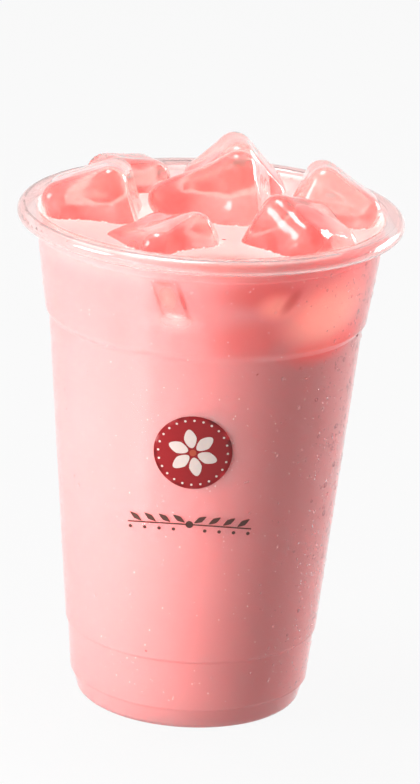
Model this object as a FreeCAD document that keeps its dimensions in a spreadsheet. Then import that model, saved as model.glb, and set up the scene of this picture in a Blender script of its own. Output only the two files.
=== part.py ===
"""Iced pink milk tea in a clear takeaway cup: a FreeCAD macro in millimetres.

The cup is thin thermoformed plastic.  From the table up it has a hollow foot ring, a short
lower wall, a ledge, the long main wall, a stacking shoulder, an upper band and a rolled rim
with a flat land for a sealing film.  Tea fills it almost to the brim.  Seven half-melted ice
blocks float in the tea and lie against each other.

+Z is up.  The origin is the middle of the ring that the cup stands on.
Every profile is drawn in the XZ plane of its body, so its points read (radius, height).
"""
import FreeCAD, Part
import math
import os

import Sketcher
from FreeCAD import Vector

# Driving sizes in millimetres: alias, value, meaning.
CUP_SIZES = (
    ("cup_height", 126.5, "table to the top of the rolled rim"),
    ("mouth_width", 85.4, "outside of the wall under the rim"),
    ("base_width", 56.2, "outside of the foot ring at the table"),
    ("wall", 0.5, "gauge of the formed sheet"),
    ("foot_height", 5.0, "table to the top of the foot"),
    ("foot_step", 0.65, "how far the wall steps out over the foot"),
    ("foot_flare", 2.9, "slope of the foot, as a multiple of the main wall's"),
    ("ring_width", 3.2, "the foot ring, across its underside"),
    ("ring_round", 1.2, "rounding of the foot ring's edges"),
    ("recess", 3.6, "height of the base plate over the table"),
    ("step_rise", 0.55, "height that a step takes"),
    ("ledge_height", 18.5, "table to the ledge"),
    ("ledge_step", 0.55, "how far the wall steps out over the ledge"),
    ("band_depth", 26.0, "rim down to the foot of the upper band"),
    ("shoulder_rise", 1.5, "height that the stacking shoulder takes"),
    ("shoulder_step", 0.95, "how far the shoulder steps out"),
    ("band_flare", 1.6, "slope of the upper band, as a multiple of the main wall's"),
    ("neck_depth", 6.9, "rim down to the neck line"),
    ("neck_step", 0.3, "how far the wall steps out at the neck line"),
    ("lip_round", 1.4, "bend from the wall's inside into the land"),
    ("rim_reach", 4.8, "how far the rolled rim stands out from the wall"),
    ("roll_radius", 1.9, "outside of the roll in section"),
    ("fill_gap", 1.9, "rim down to the tea"),
    ("headroom", 45.0, "height kept over the rim for the ice"),
)

# Sizes that all the ice blocks share.
ICE_SHARED = (
    ("ice_melt", 4.5, "rounding of a block's melted edges"),
    ("dish_depth", 0.9, "how far the middle of a melted face lies in from its corners"),
    ("dish_reach", 1.04, "the dish's width over the face's diagonal"),
    ("dimple_width", 13.0, "the hollow that the ice machine leaves in one face, across"),
    ("dimple_depth", 1.2, "its depth"),
)

# One row for each block.  long, wide and tall are its sizes in millimetres, and flare is how
# much shorter its top is than its middle, as a share.  out is how far its middle lies from the
# cup's axis, as a share of the mouth's inner radius, and bearing the direction in degrees.
# rise is how far its middle is over the tea in millimetres.  turn, tip and lean are its yaw,
# pitch and roll in degrees.
ICE_FIELDS = ("long", "wide", "tall", "flare", "out", "bearing", "rise", "turn", "tip", "lean")
ICE_ROWS = (
    (22.6, 23.8, 21.9, -0.06, 0.675, 181.5, 0.1, -3.0, -21.0, -6.5),
    (21.4, 18.4, 23.0, 0.1, 0.725, 134.5, -3.0, 26.5, 5.0, -6.0),
    (22.8, 20.7, 21.8, 0.0, 0.695, 79.0, -0.6, 6.0, 47.0, 1.0),
    (27.6, 24.4, 21.8, -0.18, 0.108, 74.0, 0.0, -2.5, -26.5, -27.0),
    (23.2, 26.0, 14.0, 0.14, 0.625, 242.5, -1.8, 42.0, -11.5, -15.0),
    (23.0, 21.0, 23.8, 0.0, 0.695, 314.5, -1.9, 48.0, 15.0, 24.5),
    (20.8, 19.4, 21.2, -0.14, 0.69, 3.5, 1.5, 0.0, 33.0, -5.5),
)

# Radii and heights that follow from the driving sizes: name, expression.  slope is the main
# wall's outward run for each millimetre up, and the foot and the band slope more by their flare.
DERIVED = (
    ("base_radius", "sizes.base_width / 2"),
    ("mouth_radius", "sizes.mouth_width / 2"),
    ("band_foot", "sizes.cup_height - sizes.band_depth"),
    ("neck", "sizes.cup_height - sizes.neck_depth"),
    ("level", "sizes.cup_height - sizes.fill_gap"),
    ("all_steps", "sizes.foot_step + sizes.ledge_step + sizes.shoulder_step + sizes.neck_step"),
    ("foot_run", "sizes.foot_flare * sizes.foot_height"),
    ("band_run", "sizes.band_flare * (form.neck - form.band_foot)"),
    ("plain_run", "form.band_foot - sizes.shoulder_rise - sizes.foot_height - 2 * sizes.step_rise"),
    ("all_runs", "form.foot_run + form.band_run + form.plain_run"),
    ("slope", "(form.mouth_radius - form.base_radius - form.all_steps) / form.all_runs"),
    ("foot_radius", "form.base_radius + form.slope * form.foot_run"),
    ("lower_radius", "form.foot_radius + sizes.foot_step"),
    ("lower_run", "sizes.ledge_height - sizes.foot_height - sizes.step_rise"),
    ("lower_top", "form.lower_radius + form.slope * form.lower_run"),
    ("main_radius", "form.lower_top + sizes.ledge_step"),
    ("main_run", "form.band_foot - sizes.shoulder_rise - sizes.ledge_height - sizes.step_rise"),
    ("main_top", "form.main_radius + form.slope * form.main_run"),
    ("band_radius", "form.main_top + sizes.shoulder_step"),
    ("band_top", "form.mouth_radius - sizes.neck_step"),
    ("land_radius", "form.mouth_radius - sizes.wall + sizes.lip_round"),
    ("rim_radius", "form.mouth_radius + sizes.rim_reach"),
    ("roll_middle", "form.rim_radius - sizes.roll_radius"),
    ("roll_height", "sizes.cup_height - sizes.roll_radius"),
    ("roll_inside", "sizes.roll_radius - sizes.wall"),
    ("plate_radius", "form.base_radius - sizes.ring_width"),
    ("dimple_ball", "(sizes.dimple_width ^ 2 / 4 + sizes.dimple_depth ^ 2) / (2 * sizes.dimple_depth)"),
)

# The roll stops this far round, in degrees below its outermost point.
ROLL_END = 105.0


def make_sheet(doc):
    """The spreadsheet of driving sizes, one aliased cell each."""
    sheet = doc.addObject("Spreadsheet::Sheet", "sizes")
    rows = [(alias, value, meaning) for alias, value, meaning in CUP_SIZES + ICE_SHARED]
    for number, values in enumerate(ICE_ROWS, start=1):
        for field, value in zip(ICE_FIELDS, values):
            rows.append((f"ice_{number}_{field}", value, f"ice block {number}: {field}"))
    for row, (alias, value, meaning) in enumerate(rows, start=1):
        sheet.set(f"A{row}", meaning)
        sheet.set(f"B{row}", str(value))
        sheet.setAlias(f"B{row}", alias)
    doc.recompute()
    return sheet


def make_form(doc):
    """The derived radii and heights, as one set of bound numbers."""
    form = doc.addObject("App::VarSet", "form")
    for name, expression in DERIVED:
        form.addProperty("App::PropertyFloat", name, "form")
        form.setExpression(name, expression)
    doc.recompute()
    return form


def plane_of(body, role):
    """One of the body's own origin planes."""
    return next(item for item in body.Origin.OriginFeatures if item.Role == role)


def value_of(owner, expression):
    """The number that an expression gives now."""
    result = owner.evalExpression(expression)
    return float(getattr(result, "Value", result))


def arc_middle(start, end, radius):
    """The point halfway along an arc shorter than half a circle.

    A positive radius bulges to the right of the way from start to end, a negative one to the left.
    """
    chord = end - start
    depth = abs(radius) - math.sqrt(max(radius ** 2 - chord.Length ** 2 / 4, 0.0))
    right = Vector(chord.y, -chord.x, 0).normalize()
    return (start + end) / 2 + right * math.copysign(depth, radius)


def draw_profile(body, name, points):
    """A closed, fully bound sketch in the body's XZ plane.

    Each point is (x expression, z expression) or, where an arc leads on to the next point,
    (x expression, z expression, radius expression, side), with side +1 for an arc that bulges
    to the right and -1 to the left.  The expression "0" puts a point on the axis.
    """
    sketch = body.newObject("Sketcher::SketchObject", name)
    sketch.AttachmentSupport = (plane_of(body, "XZ_Plane"), [""])
    sketch.MapMode = "FlatFace"
    places = [Vector(value_of(sketch, point[0]), value_of(sketch, point[1]), 0) for point in points]
    ends = []
    for index, point in enumerate(points):
        start = places[index]
        end = places[(index + 1) % len(points)]
        if len(point) == 2:
            edge = sketch.addGeometry(Part.LineSegment(start, end), False)
        else:
            middle = arc_middle(start, end, value_of(sketch, point[2]) * point[3])
            edge = sketch.addGeometry(Part.Arc(start, middle, end), False)
        drawn_start = sketch.getPoint(edge, 1)
        ends.append((1, 2) if (drawn_start - start).Length < 1e-6 else (2, 1))
    for index, point in enumerate(points):
        previous = (index - 1) % len(points)
        sketch.addConstraint(Sketcher.Constraint("Coincident", previous, ends[previous][1],
                                                 index, ends[index][0]))
        bind_point(sketch, index, ends[index][0], point, places[index])
        if len(point) == 4:
            radius = abs(value_of(sketch, point[2]))
            number = sketch.addConstraint(Sketcher.Constraint("Radius", index, radius))
            sketch.setExpression(f"Constraints[{number}]", point[2])
    return sketch


def bind_point(sketch, edge, end, point, place):
    """Hold one end of an edge at its two expressions, or on an axis where one is "0"."""
    for kind, axis, expression, value in (("DistanceX", -2, point[0], place.x),
                                          ("DistanceY", -1, point[1], place.y)):
        if expression == "0":
            sketch.addConstraint(Sketcher.Constraint("PointOnObject", edge, end, axis))
        else:
            number = sketch.addConstraint(Sketcher.Constraint(kind, -1, 1, edge, end, value))
            sketch.setExpression(f"Constraints[{number}]", expression)


def revolve(body, name, sketch):
    """Turn a profile all the way round the body's Z axis."""
    feature = body.newObject("PartDesign::Revolution", name)
    feature.Profile = sketch
    feature.ReferenceAxis = (plane_of(body, "Z_Axis"), [""])
    feature.Angle = 360.0
    return feature


def round_edges(doc, body, name, base, chosen, radius):
    """Fillet the edges of base that the test picks."""
    doc.recompute()
    picked = [f"Edge{number}" for number, edge in enumerate(base.Shape.Edges, start=1) if chosen(edge)]
    feature = body.newObject("PartDesign::Fillet", name)
    feature.Base = (base, picked)
    feature.setExpression("Radius", radius)
    return feature


def level_circle(height, radius):
    """A test for a whole circle about Z of that radius at that height."""
    def test(edge):
        curve = edge.Curve
        if not isinstance(curve, Part.Circle):
            return False
        return abs(curve.Center.z - height) < 0.01 and abs(curve.Radius - radius) < 0.01
    return test


def roll_point(angle, radius):
    """Expressions for a point of the rim's roll at an angle, in degrees from level."""
    return (f"form.roll_middle + {radius} * cos({angle} deg)",
            f"form.roll_height + {radius} * sin({angle} deg)")


def wall_points(offset, lift):
    """The stations of the wall from the foot to the neck line.

    offset is taken off each radius and lift is put on each height, which is how the sheet's
    inside follows its outside at an even gauge.
    """
    stations = (
        ("form.foot_radius", "sizes.foot_height"),
        ("form.lower_radius", "sizes.foot_height + sizes.step_rise"),
        ("form.lower_top", "sizes.ledge_height"),
        ("form.main_radius", "sizes.ledge_height + sizes.step_rise"),
        ("form.main_top", "form.band_foot - sizes.shoulder_rise"),
        ("form.band_radius", "form.band_foot"),
        ("form.band_top", "form.neck"),
        ("form.mouth_radius", "form.neck + sizes.neck_step"),
    )
    return [(f"{radius} - {offset}", f"{height} + {lift}") for radius, height in stations]


def make_shell(doc):
    """The outside of the cup as a solid: foot ring, walls, land and rolled rim."""
    body = doc.addObject("PartDesign::Body", "cup_outside")
    points = [("0", "sizes.recess"), ("form.plate_radius - 0.1 * sizes.recess", "sizes.recess"),
              ("form.plate_radius", "0"), ("form.base_radius", "0")]
    points += wall_points("0", "0")
    points += [
        ("form.mouth_radius", "sizes.cup_height - sizes.lip_round", "sizes.lip_round - sizes.wall", -1),
        ("form.land_radius", "sizes.cup_height - sizes.wall"),
        ("form.roll_middle", "sizes.cup_height - sizes.wall", "form.roll_inside", -1),
        ("form.roll_middle + form.roll_inside", "form.roll_height", "form.roll_inside", -1),
        roll_point(-ROLL_END, "form.roll_inside"),
        roll_point(-ROLL_END, "sizes.roll_radius") + ("sizes.roll_radius", 1),
        ("form.rim_radius", "form.roll_height", "sizes.roll_radius", 1),
        ("form.roll_middle", "sizes.cup_height"),
        ("0", "sizes.cup_height"),
    ]
    turned = revolve(body, "cup_turned", draw_profile(body, "cup_profile", points))
    doc.recompute()
    radius = value_of(turned, "form.base_radius")
    inner = value_of(turned, "form.plate_radius")

    def ring_edge(edge):
        return level_circle(0.0, radius)(edge) or level_circle(0.0, inner)(edge)

    round_edges(doc, body, "cup_ring_round", turned, ring_edge, "sizes.ring_round")
    return body


def make_core(doc):
    """The space inside the cup, and over it the room that the ice may take."""
    body = doc.addObject("PartDesign::Body", "cup_inside")
    floor = "sizes.recess + sizes.wall"
    points = [("0", floor), ("form.plate_radius + sizes.wall - 0.1 * sizes.recess", floor),
              ("form.plate_radius + sizes.wall", "sizes.wall"),
              ("form.base_radius - sizes.wall", "sizes.wall")]
    points += wall_points("sizes.wall", "sizes.wall / 2")
    points += [
        ("form.mouth_radius - sizes.wall", "sizes.cup_height - sizes.lip_round", "sizes.lip_round", -1),
        ("form.land_radius", "sizes.cup_height"),
        ("form.rim_radius", "sizes.cup_height"),
        ("form.rim_radius", "sizes.cup_height + sizes.headroom"),
        ("0", "sizes.cup_height + sizes.headroom"),
    ]
    turned = revolve(body, "core_turned", draw_profile(body, "core_profile", points))
    doc.recompute()
    floor_height = value_of(turned, "sizes.wall")
    radius = value_of(turned, "form.base_radius - sizes.wall")
    inner = value_of(turned, "form.plate_radius + sizes.wall")

    def moat_edge(edge):
        return level_circle(floor_height, radius)(edge) or level_circle(floor_height, inner)(edge)

    round_edges(doc, body, "core_ring_round", turned, moat_edge, "sizes.ring_round - sizes.wall")
    return body


def hollow_face(body, name, plane, angle, radius, centre):
    """Take a ball out of the body.

    Its centre is three expressions in the plane's own directions, and angle turns the ball so
    that neither its poles nor its seam come to lie on the face.
    """
    ball = body.newObject("PartDesign::SubtractiveSphere", name)
    ball.AttachmentSupport = (plane_of(body, plane), [""])
    ball.MapMode = "FlatFace"
    ball.setExpression("Radius", radius)
    ball.setExpression("AttachmentOffset.Rotation.Yaw", str(angle))
    for axis, expression in zip("xyz", centre):
        ball.setExpression(f"AttachmentOffset.Base.{axis}", expression)
    return ball


def dish_faces(body, number):
    """Melt all six faces of a block hollow, each with a ball that reaches just past its corners."""
    size = f"sizes.ice_{number}_"
    longest = f"{size}long * (1 + abs({size}flare))"
    tilt = f"atan({size}flare * {size}long / {size}tall)"
    faces = (
        ("end", f"{size}wide", f"{size}tall / cos({tilt})", f"{size}long / 2"),
        ("side", longest, f"{size}tall", f"{size}wide / 2"),
        ("flat", longest, f"{size}wide", f"{size}tall / 2"),
    )
    for name, across, along, half in faces:
        reach = f"sizes.dish_reach ^ 2 * (({across}) ^ 2 + ({along}) ^ 2) / 4"
        radius = f"({reach} + sizes.dish_depth ^ 2) / (2 * sizes.dish_depth)"
        stand = f"({radius} - sizes.dish_depth)"
        for way, sign in (("near", -1), ("far", 1)):
            label = f"block_{number}_{name}_{way}"
            if name == "end":
                centre = (f"{sign} * ({half} + {stand} * cos({tilt}))", "0", f"{stand} * sin({tilt})")
                hollow = hollow_face(body, label, "XY_Plane", 90, radius, centre)
            elif name == "side":
                centre = ("0", f"{sign} * ({half} + {stand})", "0")
                hollow = hollow_face(body, label, "XY_Plane", 0, radius, centre)
            else:
                centre = ("0", f"{sign} * ({half} + {stand})", "0")
                hollow = hollow_face(body, label, "XZ_Plane", 0, radius, centre)
    return hollow


def make_block(doc, number):
    """One ice block: a flared bar, its faces dished, its edges melted, the machine's hollow in -Y."""
    size = f"sizes.ice_{number}_"
    body = doc.addObject("PartDesign::Body", f"block_{number}")
    foot = f"{size}long * (1 + {size}flare) / 2"
    top = f"{size}long * (1 - {size}flare) / 2"
    half = f"{size}tall / 2"
    points = [(f"-{foot}", f"-{half}"), (foot, f"-{half}"), (top, half), (f"-{top}", half)]
    pad = body.newObject("PartDesign::Pad", f"block_{number}_bar")
    pad.Profile = draw_profile(body, f"block_{number}_profile", points)
    pad.Midplane = True
    pad.setExpression("Length", f"{size}wide")
    dished = dish_faces(body, number)
    melted = round_edges(doc, body, f"block_{number}_melted", dished, lambda edge: True, "sizes.ice_melt")
    doc.recompute()
    body.Tip = melted
    stand = "form.dimple_ball - sizes.dimple_depth - sizes.dish_depth"
    hollow_face(body, f"block_{number}_hollow", "XY_Plane", 0, "form.dimple_ball",
                ("0", f"-({size}wide / 2 + {stand})", "0"))
    reach = f"(form.mouth_radius - sizes.wall) * {size}out"
    body.setExpression("Placement.Base.x", f"{reach} * cos({size}bearing * 1 deg)")
    body.setExpression("Placement.Base.y", f"{reach} * sin({size}bearing * 1 deg)")
    body.setExpression("Placement.Base.z", f"form.level + {size}rise")
    body.setExpression("Placement.Rotation.Yaw", f"{size}turn")
    body.setExpression("Placement.Rotation.Pitch", f"{size}tip")
    body.setExpression("Placement.Rotation.Roll", f"{size}lean")
    return body


def combine(doc, kind, name, base, tool):
    """A boolean of two shapes: Cut or Common."""
    feature = doc.addObject(f"Part::{kind}", name)
    feature.Base = base
    feature.Tool = tool
    return feature


def gather(doc, name, members):
    """Several separate shapes as one tool."""
    group = doc.addObject("Part::Compound", name)
    group.Links = members
    return group


def make_ice(doc, core):
    """The ice blocks, each melted back where the cup or an earlier block is in its way."""
    blocks = []
    for number in range(1, len(ICE_ROWS) + 1):
        block = make_block(doc, number)
        kept = combine(doc, "Common", f"ice_{number}_in_cup", block, core)
        if blocks:
            earlier = gather(doc, f"ice_before_{number}", list(blocks))
            kept = combine(doc, "Cut", f"ice_{number}_fitted", kept, earlier)
        kept.Label = f"ice_{number}"
        blocks.append(kept)
    return blocks


def make_drink(doc, core, ice):
    """The tea: the cup's inside up to the level, round the ice that floats in it."""
    slab = doc.addObject("Part::Cylinder", "below_level")
    slab.setExpression("Radius", "form.rim_radius")
    slab.setExpression("Height", "form.level")
    filled = combine(doc, "Common", "filled_cup", core, slab)
    drink = combine(doc, "Cut", "drink_round_ice", filled, gather(doc, "all_ice", list(ice)))
    drink.Label = "drink"
    return drink


def check_document(doc, nodes):
    """Stop if any object failed or any sub-part isn't one sound solid."""
    for item in doc.Objects:
        if "Invalid" in item.State or "Error" in item.State:
            raise RuntimeError(f"{item.Label} failed: {item.State}")
    for node in nodes:
        shape = node.Shape
        if shape.isNull() or not shape.isValid() or len(shape.Solids) != 1:
            raise RuntimeError(f"{node.Label} is not one valid solid")


def main():
    doc = FreeCAD.newDocument("milk_tea")
    make_sheet(doc)
    make_form(doc)
    shell = make_shell(doc)
    core = make_core(doc)
    cup = combine(doc, "Cut", "cup_formed", shell, core)
    cup.Label = "cup"
    ice = make_ice(doc, core)
    drink = make_drink(doc, core, ice)
    doc.recompute()
    nodes = [cup, drink] + ice
    check_document(doc, nodes)
    os.makedirs("parts", exist_ok=True)
    for node in nodes:
        node.Shape.exportStep(f"parts/{node.Label}.step")
        print(node.Label, round(node.Shape.Volume / 1000, 3), "cm3")


main()
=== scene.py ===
"""Iced pink milk tea in a clear takeaway cup: the looks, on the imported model's frame.

Lengths are written in millimetres and MM turns them to metres; only the stage is set out in
metres.  Heights are above the table.  A bearing is in degrees round the cup, and its front is
at -90.  The cup stays as it is packed and gets its finish.  The tea is turned on the lathe and
reaches just into the wall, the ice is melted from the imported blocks, and the wet, the fruit and
the print are real mesh.
"""
import bmesh
import bpy
import math
import random
from mathutils import Matrix, Vector


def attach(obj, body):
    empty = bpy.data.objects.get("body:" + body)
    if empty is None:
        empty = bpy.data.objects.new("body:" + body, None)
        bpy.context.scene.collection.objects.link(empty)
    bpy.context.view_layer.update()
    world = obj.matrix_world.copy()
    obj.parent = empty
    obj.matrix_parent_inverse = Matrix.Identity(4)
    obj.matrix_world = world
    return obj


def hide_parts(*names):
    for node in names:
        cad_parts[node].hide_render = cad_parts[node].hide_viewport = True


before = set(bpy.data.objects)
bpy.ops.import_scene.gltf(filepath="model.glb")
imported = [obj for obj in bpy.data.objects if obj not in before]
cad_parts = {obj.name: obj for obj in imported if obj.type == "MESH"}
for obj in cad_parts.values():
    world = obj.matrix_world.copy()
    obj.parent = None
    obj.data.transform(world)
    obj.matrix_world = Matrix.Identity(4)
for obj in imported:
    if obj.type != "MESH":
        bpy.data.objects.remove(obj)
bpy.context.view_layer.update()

MM = 0.001
DOWN = Vector((0, 0, -1))

# The cup's outer wall from the foot to the neck line: radius, height, bend.
WALL_MM = (
    (29.4, 5.0, 0.3), (30.05, 5.55, 0.3), (31.2, 18.5, 0.3), (31.75, 19.05, 0.3),
    (38.76, 99.0, 0.8), (39.71, 100.5, 0.8), (42.4, 119.6, 0.2), (42.7, 119.9, 0.2),
)
GAUGE_MM = 0.5
# The heights between which drops, bubbles and froth sit on the wall, and the bearing where drops
# and bubbles are thickest.
WET_BAND_MM = (7.0, 121.0)
WET_SIDE = -14.0
# How many of each there are, and how far they spread to both sides of their bearing.
DROPS, DROP_SPREAD = 500, 28.0
BUBBLES, BUBBLE_SPREAD = 900, 18.0
RINGS, RING_SPREAD = 170, 12.0
FROTH, FROTH_SIDE, FROTH_SPREAD = 420, -85.0, 40.0
# How many shreds are at the wall and in all, and how many bubbles of foam at most.
WALL_SHREDS, SHREDS = 16, 24
FOAM, FOAM_TRIES = 420, 20000

# The tea's own bottom: round the hollow base plate and into the foot ring.
BOTTOM_MM = ((0.0, 3.9, 0.0), (24.7, 3.9, 0.3), (25.1, 0.35, 0.6), (27.9, 0.35, 0.9))
LEVEL_MM = 124.6
# The tea's creep up the wall: how far in from its edge, how far above the level, bend.
CREEP_MM = ((0.0, 0.9, 0.0), (0.5, 0.55, 0.2), (1.3, 0.0, 0.5))
# How far the tea reaches into the wall and the ice into the tea, so that no air shows between.
REACH_MM = 0.2
DIP_MM = 0.15
LATHE_STEPS = 160
# Where a ray down onto the tea starts, well above it.
ABOVE_MM = 140

BLOCKS = 7
# Painted light and shade in the tea where sunk ice lies behind the wall: deeper coral patches,
# a dark streak of painted shade along an ice edge, pale patches of painted light, and a glow of
# painted light where the ice would let light through.  The last row is painted shade and
# reflection of the floating ice on the open surface by the front wall.  Columns: bearing, height,
# half the width and height, lean in degrees, colour, strength, and how much light comes through to
# the wall as a painted glow.
SUNK_ICE_PAINTED_LIGHT_AND_SHADE = (
    (-72.0, 117.0, (15.0, 6.0), 0.0, "#e8504a", 0.6, 0.0),
    (-74.0, 105.0, (14.0, 8.0), 0.0, "#ee5a56", 0.5, 0.0),
    (-40.0, 101.0, (20.0, 6.0), 6.0, "#ff5048", 0.8, 0.15),
    (-66.0, 113.5, (7.0, 5.0), 0.0, "#ffb0a2", 0.8, 0.2),
    (-44.0, 109.5, (20.0, 12.0), 8.0, "#ffb8aa", 1.0, 0.34),
    (-61.0, 114.5, (2.2, 5.2), -36.0, "#c23a38", 0.5, 0.0),
    (-84.0, 124.6, (16.0, 5.0), 0.0, "#f09a90", 0.7, 0.0),
)
# How far into the tea such a shade reaches.
SHADE_DEPTH_MM = 12
# Painted light and shade for the end of a sunk block that presses on the wall, in films: a pale
# glow and a bright line of painted light, its coral face, and dark edges of painted shade.  The
# middle across and up, width, height, lean in degrees, colour, strength.
PAINTED_SUNK_END = (
    ((-7.0, 109.5), 18.0, 9.0, 0.0, "#ffe9e4", 0.6),
    ((-9.3, 115.2), 9.0, 13.0, 20.0, "#f0a79b", 0.9),
    ((-10.6, 118.8), 8.0, 1.6, 0.0, "#e0716c", 0.5),
    ((-11.6, 114.8), 1.2, 10.0, 20.0, "#dd7470", 0.9),
    ((-5.6, 114.6), 1.9, 11.5, 20.0, "#d9504c", 1.0),
    ((-7.0, 110.6), 8.0, 1.8, -8.0, "#fff4f0", 0.8),
)
# The first of these films lies this far off the tea, and each next one a step further.
FILM_MM = 0.03
FILM_STEP_MM = 0.02
# Painted light in the tea by height, a band under the rim and the open surface: the heights
# between which a band comes in, share, colour.
TEA_PAINTED_LIGHT_BANDS = ((115.5, 119.5, 0.5, "#f3b9b9"), (124.35, 124.5, 1.0, "#fdd9d6"))

# Flat shapes are drawn this far in front of the cup's axis, and then wrapped on.
FRONT_MM = -60.0
# The medallion's middle across and up, its width, and how finely the wrapped disc is divided.
MIDDLE_MM = (-1.5, 75.5)
MEDALLION_MM = 19.0
DISC_RINGS = 8
DISC_STEP_MM = 1.1
# The blossom: petals of a width and length, how far out their middles are, and their turn.
PETALS = 6
PETAL_MM = (3.1, 4.9)
PETAL_REACH_MM = 3.7
PETAL_TURN = 12.0
HEART_MM = 1.7
# The ring of dots round it.
DOTS = 24
DOT_MM = 0.6
DOT_REACH_MM = 8.4
# The garland: its height, and its drop for each square millimetre out from the middle; the
# reach, run and half width of its stem; and the leaves on each side, each with a berry.
GARLAND_MM = 56.5
GARLAND_SAG = 0.006
STEM_REACH_MM = 15
STEM_RUN_MM = 3
STEM_HALF_MM = 0.18
LEAVES = 4
LEAF_START_MM = 2.6
LEAF_PITCH_MM = 3.5
LEAF_MM = (1.4, 3.4)
LEAF_RISE_MM = 1.4
LEAF_LEAN = 58
BERRY_MM = 0.9
BERRY_FROM_LEAF_MM = (1.2, -2.9)
BUD_MM = 1.9

# The Mix node's sockets by number, because it has several of each name.
SHARE, NUMBER_A, NUMBER_B, COLOUR_A, COLOUR_B = 0, 2, 3, 6, 7
COLOUR_OUT = 2

# The lamps: place and size in metres, power in watts, and whether gloss mirrors the lamp.  The
# strip is close to the wall, where its mirror image would be a hard stripe.
LAMPS = (
    ("key", (-0.78, -0.24, 0.42), (0.36, 0.36), 4.8, True),
    ("strip", (-0.084, -0.096, 0.062), (0.03, 0.12), 0.112, False),
    ("top", (-0.15, 0.1, 0.9), (0.3, 0.3), 4.2, True),
    ("edge", (0.65, 0.5, 0.25), (0.35, 0.35), 4.2, True),
)
LAMP_AIM = Vector((0, 0, 0.07))
FLOOR_SIZE = 6.0
# The camera's place in metres and its lens in millimetres.  In degrees, it pans to the left,
# tilts up from straight down and rolls.
CAMERA_PLACE = (0.0, -0.9364, 0.39183)
CAMERA_LENS = 182.4
CAMERA_PAN = -0.1178
CAMERA_TILT = 71.5183
CAMERA_ROLL = 2.9433


# ---------------------------------------------------------------- small tools

def linear(hex_colour):
    """An sRGB hex colour as linear red, green, blue and alpha."""
    parts = [int(hex_colour[i:i + 2], 16) / 255 for i in (1, 3, 5)]
    return [c / 12.92 if c <= 0.04045 else ((c + 0.055) / 1.055) ** 2.4 for c in parts] + [1.0]


def deselect():
    """Nothing selected and no object in edit mode."""
    if bpy.context.object and bpy.context.object.mode != "OBJECT":
        bpy.ops.object.mode_set(mode="OBJECT")
    bpy.ops.object.select_all(action="DESELECT")


def activate(piece):
    """The piece alone selected and active."""
    deselect()
    piece.select_set(True)
    bpy.context.view_layer.objects.active = piece


def smooth(piece):
    """Shade the piece smooth all over."""
    activate(piece)
    bpy.ops.object.shade_smooth()


def apply_modifier(piece, kind, name, **settings):
    """Add one modifier, set it up and apply it."""
    activate(piece)
    modifier = piece.modifiers.new(name, kind)
    for key, value in settings.items():
        setattr(modifier, key, value)
    bpy.ops.object.modifier_apply(modifier=modifier.name)


def wrap(piece, target, lift):
    """Push a flat piece from the front onto the target, and leave it lift millimetres proud."""
    apply_modifier(piece, "SHRINKWRAP", "wrap", target=target, wrap_method="PROJECT",
                   use_project_y=True, use_negative_direction=False, use_positive_direction=True,
                   offset=lift * MM)
    smooth(piece)


def copy_of(source, name):
    """A free copy of an object with its own mesh, at the same place."""
    piece = bpy.data.objects.new(name, source.data.copy())
    bpy.context.scene.collection.objects.link(piece)
    return piece


def join(pieces, name):
    """Several mesh objects as one."""
    deselect()
    for piece in pieces:
        piece.select_set(True)
    bpy.context.view_layer.objects.active = pieces[0]
    bpy.ops.object.join()
    pieces[0].name = name
    return pieces[0]


def remove(piece):
    """Take away a helper object and its mesh."""
    mesh = piece.data
    bpy.data.objects.remove(piece)
    bpy.data.meshes.remove(mesh)


def finish_piece(piece, material):
    """Give the piece its finish and let it ride on the one body."""
    piece.data.materials.clear()
    piece.data.materials.append(material)
    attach(piece, "root")
    return piece


def select_vertices(piece, chosen):
    """In edit mode, select just the vertices whose place passes the test."""
    bpy.ops.mesh.select_all(action="DESELECT")
    bpy.ops.mesh.select_mode(type="VERT")
    mesh = bmesh.from_edit_mesh(piece.data)
    for vertex in mesh.verts:
        vertex.select = chosen(vertex.co)
    mesh.select_flush(True)
    bmesh.update_edit_mesh(piece.data)


def turned_spot(centre, across, along, turn_deg):
    """The flat point that lies across and along from a centre, on axes turned by some degrees."""
    angle = math.radians(turn_deg)
    return (centre[0] + across * math.cos(angle) - along * math.sin(angle),
            centre[1] + across * math.sin(angle) + along * math.cos(angle))


# ---------------------------------------------------------------- the lathe and the wall

def turn(name, stations):
    """A closed solid turned on the lathe from (radius, height, bend) stations in millimetres."""
    deselect()
    bpy.ops.mesh.primitive_plane_add(size=MM)
    piece = bpy.context.object
    piece.name = name
    places = [Vector((radius, 0, height)) * MM for radius, height, bend in stations]
    bpy.ops.object.mode_set(mode="EDIT")
    bpy.ops.mesh.merge(type="CENTER")
    bpy.ops.transform.translate(value=places[0])
    for start, end in zip(places, places[1:]):
        bpy.ops.mesh.extrude_region_move(TRANSFORM_OT_translate={"value": end - start})
    for place, (_, _, bend) in zip(places, stations):
        if bend:
            select_vertices(piece, lambda spot, corner=place: (spot - corner).length < 0.001 * MM)
            bpy.ops.mesh.bevel(offset=bend * MM, segments=4, affect="VERTICES")
    bpy.ops.mesh.select_all(action="SELECT")
    bpy.ops.mesh.spin(steps=LATHE_STEPS, angle=math.tau, center=(0, 0, 0), axis=(0, 0, 1))
    bpy.ops.mesh.select_all(action="SELECT")
    bpy.ops.mesh.remove_doubles(threshold=0.01 * MM)
    bpy.ops.mesh.normals_make_consistent(inside=False)
    bpy.ops.object.mode_set(mode="OBJECT")
    return piece


def wall_radius(height):
    """The outer wall's radius at a height, both in millimetres."""
    for (low_radius, low, _), (high_radius, high, _) in zip(WALL_MM, WALL_MM[1:]):
        if height <= high:
            return low_radius + (high_radius - low_radius) * (height - low) / (high - low)
    return WALL_MM[-1][0]


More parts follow.
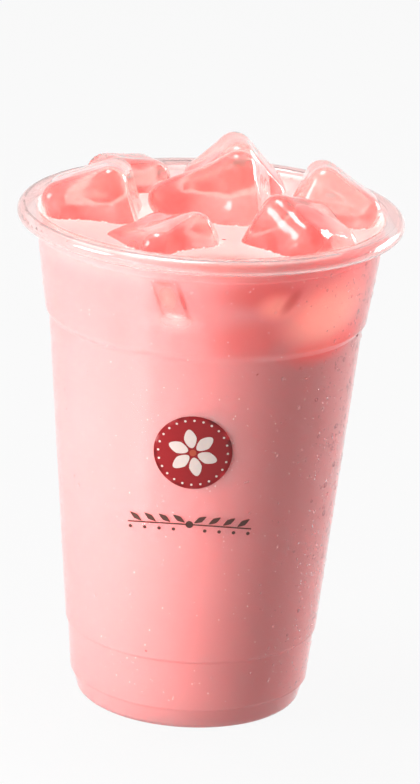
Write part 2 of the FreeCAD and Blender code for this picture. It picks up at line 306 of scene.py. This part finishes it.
def on_wall(bearing, height, inset, size, thick, long, tilt=0.0):
    """The matrix of a small shape of unit radius that lies an inset under the wall's outside."""
    turned = Matrix.Rotation(math.radians(bearing), 4, "Z")
    spot = Matrix.Translation(((wall_radius(height) - inset) * MM, 0, height * MM))
    lean = Matrix.Rotation(math.radians(tilt), 4, "X")
    return turned @ spot @ lean @ Matrix.Diagonal((thick * MM, size * MM, long * MM, 1))


# ---------------------------------------------------------------- the ice

def melted_block(number):
    """One block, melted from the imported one: softened all over and unevenly wavy."""
    piece = copy_of(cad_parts[f"ice_{number}"], f"melted_ice_{number}")
    activate(piece)
    bpy.ops.object.mode_set(mode="EDIT")
    bpy.ops.mesh.select_all(action="SELECT")
    bpy.ops.mesh.remove_doubles(threshold=0.01 * MM)
    bpy.ops.object.mode_set(mode="OBJECT")
    apply_modifier(piece, "REMESH", "skin", mode="VOXEL", voxel_size=0.5 * MM)
    apply_modifier(piece, "SMOOTH", "melt", factor=0.5, iterations=8)
    waves = bpy.data.textures.new(f"melt_waves_{number}", "CLOUDS")
    waves.noise_scale = 9 * MM
    waves.noise_depth = 1
    apply_modifier(piece, "DISPLACE", "waves", texture=waves, strength=0.8 * MM, mid_level=0.55,
                   texture_coords="GLOBAL")
    apply_modifier(piece, "SMOOTH", "wet", factor=0.5, iterations=4)
    smooth(piece)
    return piece


def make_ice(material):
    """All the blocks."""
    blocks = []
    for number in range(1, BLOCKS + 1):
        piece = melted_block(number)
        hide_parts(f"ice_{number}")
        blocks.append(finish_piece(piece, material))
    return blocks


# ---------------------------------------------------------------- the tea

def make_tea(blocks, material):
    """The tea up to its level, creeping up the wall, with the hollows that the ice floats in."""
    inset = GAUGE_MM - REACH_MM
    edge = WALL_MM[-1][0] - inset
    stations = list(BOTTOM_MM)
    stations += [(radius - inset, height + inset / 2, bend) for radius, height, bend in WALL_MM]
    stations += [(edge - inward, LEVEL_MM + rise, bend) for inward, rise, bend in CREEP_MM]
    stations.append((0.0, LEVEL_MM, 0.0))
    tea = turn("milk_tea", stations)
    for block in blocks:
        hollow = copy_of(block, "hollow")
        apply_modifier(hollow, "DISPLACE", "inside", strength=-DIP_MM * MM, mid_level=0.0)
        apply_modifier(hollow, "DECIMATE", "fewer", ratio=0.25)
        apply_modifier(tea, "BOOLEAN", "hollow", operation="DIFFERENCE", object=hollow, solver="EXACT")
        remove(hollow)
    activate(tea)
    bpy.ops.object.shade_smooth_by_angle(angle=math.radians(40))
    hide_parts("drink")
    return finish_piece(tea, material)


def soft_oval(centre, width, height, turn_deg, tint, strength):
    """A flat patch with a colour attribute that fades out from its middle to an oval border."""
    deselect()
    bpy.ops.mesh.primitive_grid_add(x_subdivisions=20, y_subdivisions=20, size=2.0)
    patch = bpy.context.object
    shade = patch.data.color_attributes.new("shade", "FLOAT_COLOR", "POINT")
    for vertex, colour in zip(patch.data.vertices, shade.data):
        fade = max(0.0, 1 - math.hypot(vertex.co.x, vertex.co.y))
        colour.color = linear(tint)[:3] + [strength * fade ** 1.5]
        x, z = turned_spot(centre, vertex.co.x * width / 2, vertex.co.y * height / 2, turn_deg)
        vertex.co = Vector((x, FRONT_MM, z)) * MM
    return patch


def paint_sunk_block_light_and_shade(tea, material):
    """Painted light and shade for the end of a sunk block that presses on the wall,
    in thin films laid over one another.
    """
    for number, spot in enumerate(PAINTED_SUNK_END):
        # Each film is a patch of painted light and shade.
        patch = soft_oval(*spot)
        patch.name = f"painted_sunk_ice_{number + 1}"
        wrap(patch, tea, FILM_MM + FILM_STEP_MM * number)
        finish_piece(patch, material)


# ---------------------------------------------------------------- beads, bubbles and shreds

def bead_shape(rough=0.0):
    """One small round bead of unit radius, a little uneven where rough is above 0."""
    deselect()
    bpy.ops.mesh.primitive_uv_sphere_add(segments=8, ring_count=6, radius=1.0)
    bead = bpy.context.object
    if rough:
        bpy.ops.object.mode_set(mode="EDIT")
        bpy.ops.mesh.select_all(action="SELECT")
        bpy.ops.transform.vertex_random(offset=rough, seed=3)
        bpy.ops.object.mode_set(mode="OBJECT")
    return bead


def ring_shape():
    """One thin ring of unit radius whose flat side faces outwards on the wall."""
    deselect()
    bpy.ops.mesh.primitive_torus_add(major_radius=1.0, minor_radius=0.2, major_segments=18,
                                     minor_segments=6, rotation=(0, math.pi / 2, 0))
    bpy.ops.object.transform_apply(location=False, rotation=True, scale=False)
    return bpy.context.object


def scatter(name, template, places, material):
    """Many small copies of one shape as one mesh, each at its own matrix; the shape is used up."""
    build = bmesh.new()
    for place in places:
        before = len(build.verts)
        build.from_mesh(template.data)
        build.verts.ensure_lookup_table()
        for vertex in build.verts[before:]:
            vertex.co = place @ vertex.co
    mesh = bpy.data.meshes.new(name)
    build.to_mesh(mesh)
    build.free()
    remove(template)
    pieces = bpy.data.objects.new(name, mesh)
    bpy.context.scene.collection.objects.link(pieces)
    smooth(pieces)
    finish_piece(pieces, material)


def make_flecks(tea, material):
    """Shreds of strawberry, at the wall and on the surface."""
    chance = random.Random(23)
    places = []
    for _ in range(WALL_SHREDS):
        size = chance.uniform(0.13, 0.25)
        places.append(on_wall(chance.uniform(-180, 180), chance.uniform(8, 121), inset=0.32,
                              size=size, thick=0.12, long=size * chance.uniform(1.0, 3.0),
                              tilt=chance.uniform(-90, 90)))
    while len(places) < SHREDS:
        spot = Vector((chance.uniform(-40, 40), chance.uniform(-40, 40), ABOVE_MM)) * MM
        hit, place, _, _ = tea.ray_cast(spot, DOWN)
        if hit and abs(place.z - LEVEL_MM * MM) < 0.05 * MM:
            size = chance.uniform(0.15, 0.4)
            spin = Matrix.Rotation(chance.uniform(0, math.tau), 4, "Z")
            shape = Matrix.Diagonal((size * MM * chance.uniform(1, 3), size * MM, 0.1 * MM, 1))
            places.append(Matrix.Translation(place) @ spin @ shape)
    scatter("strawberry_shreds", bead_shape(0.25), places, material)


def make_foam_and_waterline_highlight(tea, material):
    """Fine bubbles on the tea wherever a point close by is off its level: by the ice and wall.
    They are foam, and along the waterline they also paint its pale highlight.
    """
    chance = random.Random(31)
    places = []
    tries = 0
    while len(places) < FOAM and tries < FOAM_TRIES:
        tries += 1
        spot = Vector((chance.uniform(-42, 42), chance.uniform(-42, 42), ABOVE_MM)) * MM
        hit, place, _, _ = tea.ray_cast(spot, DOWN)
        if not hit or abs(place.z - LEVEL_MM * MM) > 0.4 * MM:
            continue
        near = chance.uniform(0.4, 1.1) * MM
        way = chance.uniform(0, math.tau)
        beside = spot + Vector((near * math.cos(way), near * math.sin(way), 0))
        hit, other, _, _ = tea.ray_cast(beside, DOWN)
        if hit and abs(other.z - place.z) < 0.3 * MM:
            continue
        size = chance.uniform(0.12, 0.42) * MM
        places.append(Matrix.Translation(place) @ Matrix.Diagonal((size, size, 0.7 * size, 1)))
    scatter("foam", bead_shape(), places, material)


def make_bubbles(material):
    """Fine air bubbles that cling to the inside of the wall, closer together on the wet side."""
    chance = random.Random(5)
    places = []
    for _ in range(BUBBLES):
        bearing = chance.gauss(WET_SIDE, BUBBLE_SPREAD)
        size = 0.14 + 0.2 * chance.random() ** 2
        places.append(on_wall(bearing, chance.uniform(*WET_BAND_MM), inset=0.15, size=size,
                              thick=0.13, long=size))
    scatter("wall_bubbles", bead_shape(), places, material)


def make_rings(material):
    """The dark outlines of larger bubbles pressed flat on the inside of the wall, as rings of painted
    shade.
    """
    chance = random.Random(17)
    places = []
    for _ in range(RINGS):
        size = 0.26 + 0.36 * chance.random() ** 1.5
        places.append(on_wall(chance.gauss(WET_SIDE, RING_SPREAD), chance.uniform(22.0, 120.0),
                              inset=0.16, size=size, thick=size,
                              long=size * chance.uniform(0.9, 1.15)))
    scatter("bubble_ring_painted_shade", ring_shape(), places, material)


def make_froth(material):
    """Pinpoints of froth in the tea against the front of the wall."""
    chance = random.Random(29)
    places = []
    for _ in range(FROTH):
        size = 0.07 + 0.1 * chance.random() ** 2
        places.append(on_wall(chance.gauss(FROTH_SIDE, FROTH_SPREAD), chance.uniform(*WET_BAND_MM),
                              inset=0.27, size=size, thick=0.08,
                              long=size * chance.uniform(1.0, 1.6)))
    scatter("wall_froth", bead_shape(), places, material)


def make_drops(material):
    """Condensation on the outside: small flat beads, closer together on the wet side."""
    chance = random.Random(11)
    places = []
    while len(places) < DROPS:
        bearing = chance.uniform(-180.0, 180.0)
        if chance.random() > 0.14 + 0.86 * math.exp(-((bearing - WET_SIDE) / DROP_SPREAD) ** 2):
            continue
        size = 0.14 + 0.3 * chance.random() ** 3
        places.append(on_wall(bearing, chance.uniform(*WET_BAND_MM), inset=0.0, size=size,
                              thick=0.45 * size, long=size * chance.uniform(1.0, 1.4)))
    scatter("condensation", bead_shape(), places, material)


# ---------------------------------------------------------------- the print

def flat_shape(points, rings=0, step=0.0):
    """A flat outline of (across, up) points, standing in front, filled or with inset rings."""
    deselect()
    bpy.ops.mesh.primitive_circle_add(vertices=len(points), radius=MM, fill_type="NGON")
    shape = bpy.context.object
    bpy.ops.object.mode_set(mode="EDIT")
    mesh = bmesh.from_edit_mesh(shape.data)
    for vertex, (x, z) in zip(mesh.verts, points):
        vertex.co = Vector((x, FRONT_MM, z)) * MM
    bmesh.update_edit_mesh(shape.data)
    for _ in range(rings):
        bpy.ops.mesh.inset(thickness=step * MM)
    if not rings:
        bpy.ops.mesh.poke()
    bpy.ops.mesh.select_all(action="SELECT")
    bpy.ops.mesh.normals_make_consistent(inside=False)
    bpy.ops.object.mode_set(mode="OBJECT")
    return shape


def oval(centre, width, height, turn_deg=0.0, point=0.0, count=24):
    """Points round an oval; with point above 0 its two long ends run out to a tip."""
    points = []
    for index in range(count):
        around = math.tau * index / count
        across = width / 2 * math.cos(around) * (1 - point * abs(math.sin(around)))
        points.append(turned_spot(centre, across, height / 2 * math.sin(around), turn_deg))
    return points


def printed(shapes, name, cup, lift, material):
    """Wrap flat shapes on the cup's outside as one thin coat of ink."""
    coat = join(shapes, name)
    wrap(coat, cup, lift)
    finish_piece(coat, material)


def make_medallion(cup):
    """A round red field with a cream blossom in a ring of dots, and the blossom's amber heart."""
    disc = flat_shape(oval(MIDDLE_MM, MEDALLION_MM, MEDALLION_MM, count=72), DISC_RINGS, DISC_STEP_MM)
    printed([disc], "medallion", cup, 0.05, ink("red_ink", "#a5141b"))
    blossom = []
    for index in range(PETALS):
        turned = 360 / PETALS * index + PETAL_TURN
        spot = turned_spot(MIDDLE_MM, 0.0, PETAL_REACH_MM, turned)
        blossom.append(flat_shape(oval(spot, *PETAL_MM, turned, 0.25)))
    for index in range(DOTS):
        spot = turned_spot(MIDDLE_MM, DOT_REACH_MM, 0.0, 360 / DOTS * index)
        blossom.append(flat_shape(oval(spot, DOT_MM, DOT_MM, count=8)))
    printed(blossom, "blossom", cup, 0.1, ink("cream_ink", "#fbe6de"))
    heart = flat_shape(oval(MIDDLE_MM, HEART_MM, HEART_MM, count=16))
    printed([heart], "blossom_heart", cup, 0.14, ink("amber_ink", "#c9553a"))


def garland_spot(out, rise=0.0):
    """The point of the garland so far out from the middle, raised by rise."""
    return (MIDDLE_MM[0] + out, GARLAND_MM - GARLAND_SAG * out ** 2 + rise)


def make_garland(cup):
    """Leaves and berries along a stem that hangs in a shallow arc, with a bud in its middle."""
    garland = []
    for side in (-1, 1):
        for index in range(LEAVES):
            out = LEAF_START_MM + LEAF_PITCH_MM * index
            leaf = garland_spot(side * out, LEAF_RISE_MM)
            berry = (leaf[0] + side * BERRY_FROM_LEAF_MM[0], leaf[1] + BERRY_FROM_LEAF_MM[1])
            garland.append(flat_shape(oval(leaf, *LEAF_MM, side * -LEAF_LEAN, 0.6)))
            garland.append(flat_shape(oval(berry, BERRY_MM, BERRY_MM, count=10)))
    for start in range(-STEM_REACH_MM, STEM_REACH_MM, STEM_RUN_MM):
        end = start + STEM_RUN_MM
        garland.append(flat_shape([garland_spot(start, -STEM_HALF_MM), garland_spot(end, -STEM_HALF_MM),
                                   garland_spot(end, STEM_HALF_MM), garland_spot(start, STEM_HALF_MM)]))
    garland.append(flat_shape(oval(garland_spot(0), BUD_MM, BUD_MM, count=16)))
    printed(garland, "garland", cup, 0.05, ink("brown_ink", "#5d3a31"))


# ---------------------------------------------------------------- materials

def new_material(name):
    """An empty node material."""
    material = bpy.data.materials.new(name)
    material.use_nodes = True
    material.node_tree.nodes.clear()
    return material


def add_node(owner, kind, settings=None, values=None, links=None):
    """Add a node, set its properties and socket values, and link its inputs."""
    node = owner.node_tree.nodes.new(kind)
    for key, value in (settings or {}).items():
        setattr(node, key, value)
    for key, value in (values or {}).items():
        node.inputs[key].default_value = value
    for key, source in (links or {}).items():
        owner.node_tree.links.new(source, node.inputs[key])
    return node


def clear_to_lamps(material, shader, tint, depth=None):
    """Let lamplight straight through the shader, tinted, so that what is inside gets its light."""
    rays = add_node(material, "ShaderNodeLightPath")
    clear = add_node(material, "ShaderNodeBsdfTransparent", values={"Color": linear(tint)})
    mix = add_node(material, "ShaderNodeMixShader",
                   links={0: rays.outputs["Is Shadow Ray"], 1: shader.outputs[0], 2: clear.outputs[0]})
    result = {"Surface": mix.outputs[0]}
    if depth:
        result["Volume"] = depth.outputs[0]
    add_node(material, "ShaderNodeOutputMaterial", links=result)
    return material


def mottled(name, first, second, patch_mm, values):
    """A solid material whose colour wanders between two tones in patches of a size."""
    material = new_material(name)
    place = add_node(material, "ShaderNodeTexCoord")
    patches = add_node(material, "ShaderNodeTexNoise", values={"Scale": 1 / (patch_mm * MM)},
                       links={"Vector": place.outputs["Object"]})
    tone = add_node(material, "ShaderNodeMix", settings={"data_type": "RGBA"},
                    values={COLOUR_A: linear(first), COLOUR_B: linear(second)},
                    links={SHARE: patches.outputs["Fac"]})
    body = add_node(material, "ShaderNodeBsdfPrincipled", values=values,
                    links={"Base Color": tone.outputs[COLOUR_OUT]})
    add_node(material, "ShaderNodeOutputMaterial", links={"Surface": body.outputs[0]})
    return material


def clear_polypropylene():
    """Thermoformed polypropylene: clear and glossy, with faint draw lines up the wall."""
    material = new_material("clear_polypropylene")
    place = add_node(material, "ShaderNodeTexCoord")
    # The lines are about 4 mm apart round the cup and 14 times as long, and end under the rim.
    stretch = add_node(material, "ShaderNodeMapping", values={"Scale": (260, 260, 18)},
                       links={"Vector": place.outputs["Object"]})
    lines = add_node(material, "ShaderNodeTexNoise", values={"Scale": 1.0, "Detail": 2.0},
                     links={"Vector": stretch.outputs["Vector"]})
    apart = add_node(material, "ShaderNodeSeparateXYZ", links={"Vector": place.outputs["Object"]})
    below_rim = add_node(material, "ShaderNodeMapRange",
                         values={"From Min": 119 * MM, "From Max": 112 * MM},
                         links={"Value": apart.outputs["Z"]})
    height = add_node(material, "ShaderNodeMath", settings={"operation": "MULTIPLY"},
                      links={0: lines.outputs["Fac"], 1: below_rim.outputs["Result"]})
    relief = add_node(material, "ShaderNodeBump", values={"Strength": 0.1, "Distance": 0.1 * MM},
                      links={"Height": height.outputs[0]})
    plastic = add_node(material, "ShaderNodeBsdfPrincipled",
                       values={"Base Color": linear("#f9e3e1"), "Roughness": 0.1, "IOR": 1.5,
                               "Transmission Weight": 0.9},
                       links={"Normal": relief.outputs["Normal"]})
    return clear_to_lamps(material, plastic, "#fbf4f4")


def milk_tea():
    """Strawberry milk tea: opaque and pink, with light that spreads far under its surface.

    It is paler in the hollows round the ice, near the top of the wall and on the open surface:
    painted light, for the lit top of the tea and a band under the rim.  Patches of painted light
    and shade stand for ice sunk in it, and the light that such ice would carry to the wall is
    painted light too: a weak glow in the tea's own colour.
    """
    material = new_material("milk_tea")
    place = add_node(material, "ShaderNodeTexCoord")
    apart = add_node(material, "ShaderNodeSeparateXYZ", links={"Vector": place.outputs["Object"]})
    # Painted light: the tea is paler away from the wall from about 100 mm up, in the hollows round the ice
    # and on the open surface.
    flat = add_node(material, "ShaderNodeCombineXYZ",
                    links={"X": apart.outputs["X"], "Y": apart.outputs["Y"]})
    across = add_node(material, "ShaderNodeVectorMath", settings={"operation": "LENGTH"},
                      links={0: flat.outputs["Vector"]})
    inward = add_node(material, "ShaderNodeMapRange",
                      values={"From Min": 39.4 * MM, "From Max": 38.4 * MM},
                      links={"Value": across.outputs["Value"]})
    high = add_node(material, "ShaderNodeMapRange",
                    values={"From Min": 100 * MM, "From Max": 105 * MM},
                    links={"Value": apart.outputs["Z"]})
    hollows = add_node(material, "ShaderNodeMath", settings={"operation": "MULTIPLY"},
                       links={0: inward.outputs["Result"], 1: high.outputs["Result"]})
    tone = add_node(material, "ShaderNodeMix", settings={"data_type": "RGBA"},
                    values={COLOUR_A: linear("#e8a0a1"), COLOUR_B: linear("#f7c0be")},
                    links={SHARE: hollows.outputs[0]})
    # Painted light: paler bands by height, under the rim and on the open surface.
    for start, full, share, tint in TEA_PAINTED_LIGHT_BANDS:
        painted_band = add_node(material, "ShaderNodeMapRange",
                         values={"From Min": start * MM, "From Max": full * MM, "To Max": share},
                         links={"Value": apart.outputs["Z"]})
        tone = add_node(material, "ShaderNodeMix", settings={"data_type": "RGBA"},
                        values={COLOUR_B: linear(tint)},
                        links={SHARE: painted_band.outputs["Result"], COLOUR_A: tone.outputs[COLOUR_OUT]})
    glow = None
    # Painted light and shade for sunk ice behind the wall, each patch a soft ball of colour.
    for bearing, height, half, lean, tint, strength, light in SUNK_ICE_PAINTED_LIGHT_AND_SHADE:
        spot = Matrix.Rotation(math.radians(bearing), 3, "Z") @ Vector((wall_radius(height), 0, height))
        own_axes = add_node(material, "ShaderNodeMapping", settings={"vector_type": "TEXTURE"},
                            values={"Location": spot * MM,
                                    "Scale": Vector((SHADE_DEPTH_MM, *half)) * MM,
                                    "Rotation": (math.radians(lean), 0, math.radians(bearing))},
                            links={"Vector": place.outputs["Object"]})
        ball = add_node(material, "ShaderNodeTexGradient", settings={"gradient_type": "SPHERICAL"},
                        links={"Vector": own_axes.outputs["Vector"]})
        soft = add_node(material, "ShaderNodeMapRange", settings={"interpolation_type": "SMOOTHSTEP"},
                        values={"From Max": 0.8, "To Max": strength}, links={"Value": ball.outputs["Fac"]})
        tone = add_node(material, "ShaderNodeMix", settings={"data_type": "RGBA"},
                        values={COLOUR_B: linear(tint)},
                        links={SHARE: soft.outputs["Result"], COLOUR_A: tone.outputs[COLOUR_OUT]})
        # Painted light: the glow that sunk ice would let through, gathered for the emission.
        before = {NUMBER_A: glow.outputs[0]} if glow else {}
        glow = add_node(material, "ShaderNodeMix", settings={"data_type": "FLOAT"},
                        values={NUMBER_B: light}, links={SHARE: soft.outputs["Result"], **before})
    # The emission is painted light: the glow of the sunk-ice patches, in the tea's own colour.
    liquid = add_node(material, "ShaderNodeBsdfPrincipled",
                      values={"Roughness": 0.3, "IOR": 1.35, "Specular IOR Level": 0.3,
                              "Subsurface Weight": 1.0, "Subsurface Radius": (1.0, 0.18, 0.18),
                              "Subsurface Scale": 14.5 * MM},
                      links={"Base Color": tone.outputs[COLOUR_OUT],
                             "Emission Color": tone.outputs[COLOUR_OUT],
                             "Emission Strength": glow.outputs[0]})
    add_node(material, "ShaderNodeOutputMaterial", links={"Surface": liquid.outputs[0]})
    return material


def painted_light_and_shade_film():
    """A thin film of painted light and shade over the tea, lighter or deeper than the rest
    and soft at its border.
    """
    material = new_material("painted_light_and_shade_film")
    shade = add_node(material, "ShaderNodeAttribute", settings={"attribute_name": "shade"})
    film = add_node(material, "ShaderNodeBsdfPrincipled", values={"Roughness": 0.3, "IOR": 1.35},
                    links={"Base Color": shade.outputs["Color"], "Alpha": shade.outputs["Alpha"]})
    add_node(material, "ShaderNodeOutputMaterial", links={"Surface": film.outputs[0]})
    return material


def wet_ice():
    """Machine ice: clear but soft inside, under a sharp wet coat, and coral where it is thick.

    The coral comes from what thick ice takes out of the light, as if tea had got into the melt.
    """
    material = new_material("wet_ice")
    ice = add_node(material, "ShaderNodeBsdfPrincipled",
                   values={"Base Color": linear("#ffe4df"), "Roughness": 0.16, "IOR": 1.31,
                           "Coat Weight": 1.0, "Coat Roughness": 0.02, "Coat IOR": 1.4,
                           "Transmission Weight": 0.88,
                           "Subsurface Weight": 1.0, "Subsurface Radius": (1.0, 0.5, 0.45),
                           "Subsurface Scale": 8 * MM})
    depth = add_node(material, "ShaderNodeVolumeAbsorption",
                     values={"Color": (1.0, 0.62, 0.58, 1.0), "Density": 19.0})
    return clear_to_lamps(material, ice, "#fff4f3", depth)


def air():
    """Air in plastic: a bubble that shows as a bright or dark ring where light is turned back."""
    material = new_material("air")
    bubble = add_node(material, "ShaderNodeBsdfPrincipled",
                      values={"Base Color": linear("#fff2f2"), "Roughness": 0.02, "IOR": 0.67,
                              "Transmission Weight": 1.0})
    return clear_to_lamps(material, bubble, "#ffffff")


def water():
    """Condensed water: clear round beads with sharp glints."""
    material = new_material("water")
    drop = add_node(material, "ShaderNodeBsdfPrincipled",
                    values={"Base Color": linear("#ffffff"), "Roughness": 0.02, "IOR": 1.33,
                            "Transmission Weight": 1.0})
    return clear_to_lamps(material, drop, "#ffffff")


def painted_bubble_edge_shade():
    """Painted shade: tea seen through the steep edge of a bubble, as a thin dusky ring."""
    return mottled("painted_bubble_edge_shade", "#8a434e", "#b8727b", 2, {"Roughness": 0.3, "IOR": 1.35})


def milk_foam_and_waterline_highlight():
    """Milk foam: near-white bubbles with a wet shine, which on the tea's waterline also paint its pale
    highlight.
    """
    return mottled("milk_foam_and_waterline_highlight", "#ffe6e1", "#fff6f3", 4, {"Roughness": 0.15, "IOR": 1.35})


def fruit():
    """Strawberry flesh: a wet, deep red shred."""
    return mottled("strawberry_flesh", "#d0484a", "#a83a40", 1.5, {"Roughness": 0.3, "IOR": 1.4})


def ink(name, tint):
    """Screen-printed ink on plastic: an even satin coat with a faint mottle from the mesh."""
    material = new_material(name)
    place = add_node(material, "ShaderNodeTexCoord")
    mottle = add_node(material, "ShaderNodeTexNoise", values={"Scale": 1 / (0.8 * MM), "Detail": 2.0},
                      links={"Vector": place.outputs["Object"]})
    tone = add_node(material, "ShaderNodeMix", settings={"data_type": "RGBA", "blend_type": "MULTIPLY"},
                    values={SHARE: 0.12, COLOUR_A: linear(tint)}, links={COLOUR_B: mottle.outputs["Color"]})
    coat = add_node(material, "ShaderNodeBsdfPrincipled",
                    values={"Roughness": 0.32, "IOR": 1.5}, links={"Base Color": tone.outputs[COLOUR_OUT]})
    add_node(material, "ShaderNodeOutputMaterial", links={"Surface": coat.outputs[0]})
    return material


def seen_straight(owner):
    """A node that gives 1 where the camera, gloss or clear plastic looks straight at a thing."""
    rays = add_node(owner, "ShaderNodeLightPath")
    seen = add_node(owner, "ShaderNodeMath", settings={"operation": "MAXIMUM"},
                    links={0: rays.outputs["Is Camera Ray"], 1: rays.outputs["Is Glossy Ray"]})
    return add_node(owner, "ShaderNodeMath", settings={"operation": "MAXIMUM"},
                    links={0: seen.outputs[0], 1: rays.outputs["Is Transmission Ray"]})


def floor_paper():
    """White studio paper that shows as white and keeps a faint shadow of the object."""
    material = new_material("floor_paper")
    paper = add_node(material, "ShaderNodeBsdfPrincipled",
                     values={"Base Color": linear("#a4a4a4"), "Roughness": 0.9})
    white = add_node(material, "ShaderNodeEmission", values={"Color": linear("#ffffff")})
    share = add_node(material, "ShaderNodeMath", settings={"operation": "MULTIPLY"},
                     values={1: 0.93}, links={0: seen_straight(material).outputs[0]})
    mix = add_node(material, "ShaderNodeMixShader",
                   links={0: share.outputs[0], 1: paper.outputs[0], 2: white.outputs[0]})
    add_node(material, "ShaderNodeOutputMaterial", links={"Surface": mix.outputs[0]})
    return material


# ---------------------------------------------------------------- the stage

def make_stage():
    """A white floor, a soft key from the left, a close strip, a top light and a back edge light."""
    deselect()
    bpy.ops.mesh.primitive_plane_add(size=FLOOR_SIZE)
    floor = bpy.context.object
    floor.name = "floor"
    floor.data.materials.append(floor_paper())
    for name, place, size, power, mirrored in LAMPS:
        lamp = bpy.data.lights.new(name, "AREA")
        lamp.shape = "RECTANGLE"
        lamp.size, lamp.size_y = size
        lamp.energy = power
        holder = bpy.data.objects.new(name, lamp)
        holder.location = place
        holder.rotation_euler = (LAMP_AIM - Vector(place)).to_track_quat("-Z", "Y").to_euler()
        holder.visible_camera = False
        holder.visible_glossy = mirrored
        bpy.context.scene.collection.objects.link(holder)


def make_world():
    """Faint daylight that the camera, gloss and glass see as plain white."""
    world = bpy.data.worlds.new("studio")
    world.use_nodes = True
    world.node_tree.nodes.clear()
    level = add_node(world, "ShaderNodeMapRange", values={"To Min": 0.04, "To Max": 1.0},
                     links={"Value": seen_straight(world).outputs[0]})
    sky = add_node(world, "ShaderNodeBackground", links={"Strength": level.outputs["Result"]})
    add_node(world, "ShaderNodeOutputWorld", links={"Surface": sky.outputs[0]})
    bpy.context.scene.world = world


def make_camera():
    """A long lens about a metre away, looking down on the cup with a slight roll."""
    camera = bpy.data.cameras.new("camera")
    camera.lens = CAMERA_LENS
    camera.sensor_width = 36.0
    camera.clip_start = 0.05
    holder = bpy.data.objects.new("camera", camera)
    turned = Matrix.Identity(4)
    for angle, axis in ((CAMERA_PAN, "Z"), (CAMERA_TILT, "X"), (CAMERA_ROLL, "Z")):
        turned = turned @ Matrix.Rotation(math.radians(angle), 4, axis)
    holder.matrix_world = Matrix.Translation(CAMERA_PLACE) @ turned
    bpy.context.scene.collection.objects.link(holder)
    bpy.context.scene.camera = holder


# ---------------------------------------------------------------- the whole

bpy.context.scene.view_settings.view_transform = "Standard"
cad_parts["cup"].material_slots[0].material = clear_polypropylene()
ice_blocks = make_ice(wet_ice())
tea = make_tea(ice_blocks, milk_tea())
paint_sunk_block_light_and_shade(tea, painted_light_and_shade_film())
make_flecks(tea, fruit())
foam_and_highlight_material = milk_foam_and_waterline_highlight()
make_foam_and_waterline_highlight(tea, foam_and_highlight_material)
make_bubbles(air())
make_rings(painted_bubble_edge_shade())
make_froth(foam_and_highlight_material)
make_drops(water())
make_medallion(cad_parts["cup"])
make_garland(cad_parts["cup"])
make_stage()
make_world()
make_camera()
